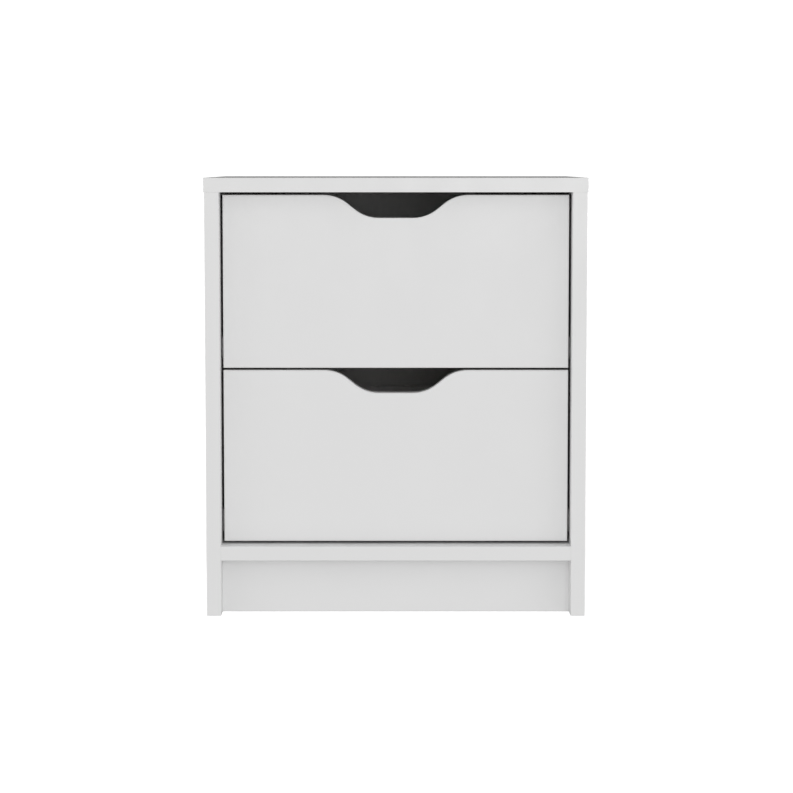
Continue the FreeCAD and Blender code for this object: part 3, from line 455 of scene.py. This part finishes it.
# ---- Screws --------------------------------------------------------------------------------------

AXES = (Vector((1, 0, 0)), Vector((0, 1, 0)), Vector((0, 0, 1)))
ROUND = 24  # points in a ring
THREAD_PITCH = 1.5 * MM
THREAD_DEEP = 0.45 * MM
THREAD_CREST = 0.5  # share of the pitch that the crest's ridge takes up
RINGS_PER_PITCH = 6
TIP_LONG = 2 * MM
CREST_INSET = 0.03 * MM  # how far the crest stays inside the plain screw
PLAIN = 0.3 * MM  # shank without thread, below the head and at the point
END_ZONE = 0.7 * MM  # how near a screw's end its width is measured
FLAT_INSET = 0.25 * MM  # from a flat head's radius to its top's
EDGE_INSET, EDGE_DEEP = 0.02 * MM, 0.1 * MM  # the ring where a flat head is widest
PAN_TOP, PAN_DOME = 0.70, 0.55  # shares of a pan head's radius and height
PAN_STEPS = (0.0, 0.3, 0.6, 0.85, 1.0)  # from the rim of a pan head's top to its widest ring
CROSS_LONG, CROSS_WIDE, CROSS_DEEP = 0.72, 0.17, 0.7  # shares of the radius of the head's top
CROSS_TAPER = 0.62
SCREW_TURN = math.radians(37)  # from one screw's cross to the next one's


def islands(name):
    """The separate pieces of a CAD node, in the mesh's order, each as a list of its points."""
    shape = bmesh.new()
    shape.from_mesh(nodes[name].data)
    bmesh.ops.remove_doubles(shape, verts=shape.verts, dist=SAME_POINT)
    seen = set()
    found = []
    for start in shape.verts:
        if start in seen:
            continue
        seen.add(start)
        queue = [start]
        points = []
        while queue:
            vertex = queue.pop()
            points.append(vertex.co.copy())
            for edge in vertex.link_edges:
                other = edge.other_vert(vertex)
                if other not in seen:
                    seen.add(other)
                    queue.append(other)
        found.append(points)
    shape.free()
    return found


def screw_frame(points):
    """Where a CAD screw sits: the middle of its head's top, the way to its tip, and its length."""
    low = Vector(min(point[axis] for point in points) for axis in range(3))
    high = Vector(max(point[axis] for point in points) for axis in range(3))
    along = max(range(3), key=lambda axis: high[axis] - low[axis])
    middle = (low + high) / 2

    def width_at(end):
        near = [point for point in points if abs(point[along] - end) < END_ZONE]
        return max((point - middle).cross(AXES[along]).length for point in near)

    head, tip = sorted((low[along], high[along]), key=width_at, reverse=True)
    top = middle.copy()
    top[along] = head
    return top, AXES[along] * (1 if tip > head else -1), high[along] - low[along]


def head_profile(head, head_long, shank, flat):
    """A screw's head from the rim of its top down to the shank, as radii and depths."""
    if flat:
        return [(head - FLAT_INSET, 0), (head - EDGE_INSET, EDGE_DEEP), (shank, head_long)]
    rim = head * PAN_TOP
    profile = []
    for share in PAN_STEPS:
        turn = share * math.pi / 2
        wide = rim + (head - rim) * math.sin(turn)
        profile.append((wide, head_long * PAN_DOME * (1 - math.cos(turn))))
    return profile + [(head, head_long), (shank, head_long)]


def thread_profile(head_long, shank, length):
    """The thread from the head down to the tip, as radii that depend on the angle, and depths."""
    profile = []
    depth = head_long + PLAIN
    while depth < length - PLAIN:
        narrow = min(1.0, (length - depth) / TIP_LONG)
        crest = (shank - CREST_INSET) * narrow
        core = crest - THREAD_DEEP * narrow

        def radius(angle, depth=depth, core=core, crest=crest):
            turn = (depth / THREAD_PITCH + angle / (2 * math.pi)) % 1.0
            return core + (crest - core) * max(0.0, 1.0 - abs(turn - 0.5) * 2 / THREAD_CREST)

        profile.append((radius, depth))
        depth += THREAD_PITCH / RINGS_PER_PITCH
    return profile


def screw_mesh(shape, head, head_long, shank, length, flat):
    """Add one screw to a bmesh, head up at the origin and tip down the Z axis."""
    before = set(shape.verts)

    def ring(radius, depth):
        """A ring of points; the radius may depend on the angle."""
        points = []
        for step in range(ROUND):
            angle = 2 * math.pi * step / ROUND
            wide = radius(angle) if callable(radius) else radius
            points.append(shape.verts.new((wide * math.cos(angle), wide * math.sin(angle), -depth)))
        return points

    top = head_profile(head, head_long, shank, flat)
    rings = [ring(*row) for row in top + thread_profile(head_long, shank, length)]
    for upper, lower in zip(rings, rings[1:]):
        for step in range(ROUND):
            after = (step + 1) % ROUND
            shape.faces.new((upper[step], lower[step], lower[after], upper[after]))
    tip = shape.verts.new((0, 0, -length))
    for step in range(ROUND):
        shape.faces.new((rings[-1][step], tip, rings[-1][(step + 1) % ROUND]))
    cross_recess(shape, rings[0], top[0][0])
    return [vertex for vertex in shape.verts if vertex not in before]


def cross_recess(shape, rim_points, rim):
    """Close the top of a head with a cross-shaped recess that narrows downwards."""
    arm, half = rim * CROSS_LONG, rim * CROSS_WIDE
    corners = []
    for turn in range(4):
        for across, up in ((arm, half), (half, half), (half, arm)):
            for _ in range(turn):
                across, up = -up, across
            corners.append((across, up))
    level = rim_points[0].co.z
    deep = level - rim * CROSS_DEEP
    upper = [shape.verts.new((across, up, level)) for across, up in corners]
    lower = [shape.verts.new((across * CROSS_TAPER, up * CROSS_TAPER, deep)) for across, up in corners]
    count = len(corners)
    edges = [shape.edges.new((upper[step], upper[(step + 1) % count])) for step in range(count)]
    edges += [
        shape.edges.get((rim_points[step], rim_points[(step + 1) % ROUND])) for step in range(ROUND)
    ]
    bmesh.ops.triangle_fill(shape, edges=edges, use_beauty=True)
    for step in range(count):
        after = (step + 1) % count
        shape.faces.new((upper[step], upper[after], lower[after], lower[step]))
    shape.faces.new(lower)


def screws(name, head, head_long, shank, flat=False):
    """Threaded screws with a cross recess in place of a node's plain ones; head and shank are radii."""
    shape = bmesh.new()
    for number, points in enumerate(islands(name)):
        top, way, length = screw_frame(points)
        added = screw_mesh(shape, head, head_long, shank, length, flat)
        turn = Matrix.Rotation(SCREW_TURN * number, 4, "Z")
        aim = (-way).to_track_quat("Z", "Y").to_matrix().to_4x4()
        bmesh.ops.transform(shape, matrix=Matrix.Translation(top) @ aim @ turn, verts=added)
    bmesh.ops.recalc_face_normals(shape, faces=shape.faces)
    for face in shape.faces:
        face.smooth = True
    mesh = bpy.data.meshes.new(f"{name}_detailed")
    shape.to_mesh(mesh)
    shape.free()
    mesh.set_sharp_from_angle(angle=math.radians(40))
    item = bpy.data.objects.new(f"{name}_detailed", mesh)
    bpy.context.scene.collection.objects.link(item)
    mesh.materials.append(FITTINGS["fastener_steel"])
    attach(item, nodes[name]["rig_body"])
    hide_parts(name)


# ---- Studio --------------------------------------------------------------------------------------

CAMERA_PLACE = Vector((0.0007, -2.8106, 0.4736))
CAMERA_PITCH = math.radians(5.232)
LENS, SENSOR = 114.98, 36.0
LIGHT_AIM = Vector((0, 0, 0.25))
WALL_TURN = (-0.30, 0.25)  # where the front walls pass into the rear one, as a direction's Y
CEILING_BAND = (0.60, 0.98)  # where the walls pass into the ceiling, as a direction's Z
GROUND_BAND = (-0.85, -0.15)  # where the ground passes into the walls, as a direction's Z
GLOW_NEAR, GLOW_FAR = 0.3, 1.2  # distances from the origin between which a glow changes
FLOOR_HALF, DOME_RADIUS = 14.0, 18.0


def camera():
    """The photograph's viewpoint: a long lens, a little above the object and looking down at it."""
    data = bpy.data.cameras.new("camera")
    data.lens = LENS
    data.sensor_width = SENSOR
    data.clip_start = 0.1
    data.clip_end = 60
    item = bpy.data.objects.new("camera", data)
    item.location = CAMERA_PLACE
    item.rotation_euler = (math.pi / 2 - CAMERA_PITCH, 0, 0)
    bpy.context.scene.collection.objects.link(item)
    bpy.context.scene.camera = item


def softbox(name, place, size, power):
    """A large soft light, aimed at the middle of the object, that the camera doesn't see."""
    data = bpy.data.lights.new(name, "AREA")
    data.shape = "RECTANGLE"
    data.size, data.size_y = size
    data.energy = power
    item = bpy.data.objects.new(name, data)
    item.location = place
    item.rotation_euler = (LIGHT_AIM - Vector(place)).to_track_quat("-Z", "Y").to_euler()
    item.visible_camera = False
    bpy.context.scene.collection.objects.link(item)


def surroundings(front, rear, ceiling, ground, tilt, sides):
    """The studio as light: bright walls in front of the object, dimmer behind, above and below.

    front, rear and ceiling are brightnesses, and ground is the share of the walls' that comes from
    below. sides is how much brighter both sides are than the middle, and tilt how much brighter again
    the right one is.
    """
    world = bpy.data.worlds.new("studio")
    bpy.context.scene.world = world
    world.use_nodes = True
    sky = Nodes(world.node_tree)
    direction = sky.add("ShaderNodeTexCoord", output="Generated")
    right, back, up = (sky.add_part(direction, axis) for axis in "XYZ")
    walls = sky.ramp(back, *WALL_TURN, front, rear)
    tilted = sky.math("MULTIPLY_ADD", right, tilt, 1.0)
    share = sky.math("MULTIPLY_ADD", sky.math("MULTIPLY", right, right), sides, tilted)
    walls = sky.ramp(up, *CEILING_BAND, sky.math("MULTIPLY", walls, share), ceiling)
    light = sky.math("MULTIPLY", walls, sky.ramp(up, *GROUND_BAND, ground, 1.0))
    background = world.node_tree.nodes["Background"]
    background.inputs["Color"].default_value = (1, 1, 1, 1)
    sky.connect(light, background.inputs["Strength"])


def glow_material(name, near_glow, far_glow, base):
    """A surface that is partly lit by itself, as a photographer's white sweep.

    The glow changes with the distance from the object, and where it is weaker, near the object, it paints
    shade on the floor round the object's base; base is the brightness of the surface itself.
    """
    look = Look(name)
    cloud = look.noise(0.8, detail=1)
    colour = look.blend(cloud, (base,) * 3, (base * 1.02,) * 3)
    away = look.add("ShaderNodeVectorMath", {0: look.place}, output="Value", operation="LENGTH")
    # where near_glow is lower than far_glow, the weaker glow close to the object is painted shade round
    # its base
    glow = look.ramp(away, GLOW_NEAR, GLOW_FAR, near_glow, far_glow)
    look.connect(glow, look.shader.inputs["Emission Strength"])
    look.shader.inputs["Emission Color"].default_value = (1, 1, 1, 1)
    return look.finish(colour, 0.9, Specular_IOR_Level=0.0)


def stage_piece(name, mesh, finish):
    """A part of the set. It shows to the camera, and casts no light of its own on the object."""
    item = bpy.data.objects.new(name, mesh)
    item.data.materials.append(finish)
    item.visible_diffuse = False
    item.visible_glossy = False
    bpy.context.scene.collection.objects.link(item)
    return item


def floor():
    """A flat white floor that reaches far beyond the picture."""
    mesh = bpy.data.meshes.new("floor")
    corners = [(FLOOR_HALF * x, FLOOR_HALF * y, 0) for x, y in ((-1, -1), (1, -1), (1, 1), (-1, 1))]
    mesh.from_pydata(corners, [], [(0, 1, 2, 3)])
    # the glow is lower near the object than far from it: painted shade on the floor round the object's
    # base
    stage_piece("floor", mesh, glow_material("floor_finish", near_glow=0.69, far_glow=0.76, base=0.93))


def backdrop():
    """A white dome round the set."""
    mesh = bpy.data.meshes.new("backdrop")
    dome = bmesh.new()
    bmesh.ops.create_uvsphere(dome, u_segments=48, v_segments=24, radius=DOME_RADIUS)
    dome.to_mesh(mesh)
    dome.free()
    finish = glow_material("backdrop_finish", near_glow=1.1, far_glow=1.1, base=0.0)
    stage_piece("backdrop", mesh, finish).visible_shadow = False


# ---- Everything together -------------------------------------------------------------------------


def finish_of(name, slot):
    """The finish of a CAD node."""
    if name in RAW_FACES:
        return board_look(name, raw=RAW_FACES[name])
    if name.endswith("drawer_front"):
        return board_look(name, pull=True)
    if name.endswith("drawer_back"):
        return board_look(name, raw=("-x", "+x"))
    if name.endswith("side"):
        return board_look(name, raw=("-y",))
    if slot == "hardboard":
        return hardboard_look(name, "-y" if name == "back_panel" else "+z")
    if slot == "rail_steel":
        return rail_look(name)
    if slot == "roller_nylon":
        return roller_look(name)
    return FITTINGS[slot]


for subpart in frame["record"]["subparts"]:
    node_name, slot_name = subpart["node"], subpart["material_slot"]
    node_finish = finish_of(node_name, slot_name)
    node_materials = nodes[node_name].data.materials
    for index in range(len(node_materials)):
        node_materials[index] = node_finish
    if slot_name == "rail_steel":
        soften(node_name, radius=0.4 * MM)

screws("cabinet_rail_screws", head=3.5 * MM, head_long=1.2 * MM, shank=2 * MM)
for level in ("upper", "lower"):
    screws(f"{level}_drawer_rail_screws", head=3.5 * MM, head_long=1.2 * MM, shank=2 * MM)
    screws(f"{level}_drawer_bottom_screws", head=2.75 * MM, head_long=1.2 * MM, shank=1.5 * MM)
    screws(f"{level}_drawer_back_screws", head=4 * MM, head_long=2 * MM, shank=2 * MM, flat=True)

camera()
surroundings(front=0.675, rear=0.10, ceiling=0.22, ground=0.64, tilt=0.12, sides=0.8)
softbox("front_light", place=(0.35, -3.5, 0.80), size=(1.3, 1.1), power=14)
for light_name, light_x in (("rear_left_light", -2.7), ("rear_right_light", 2.7)):
    softbox(light_name, place=(light_x, 1.9, 0.3), size=(1.8, 0.6), power=24)
floor()
backdrop()
bpy.context.scene.view_settings.view_transform = "Standard"
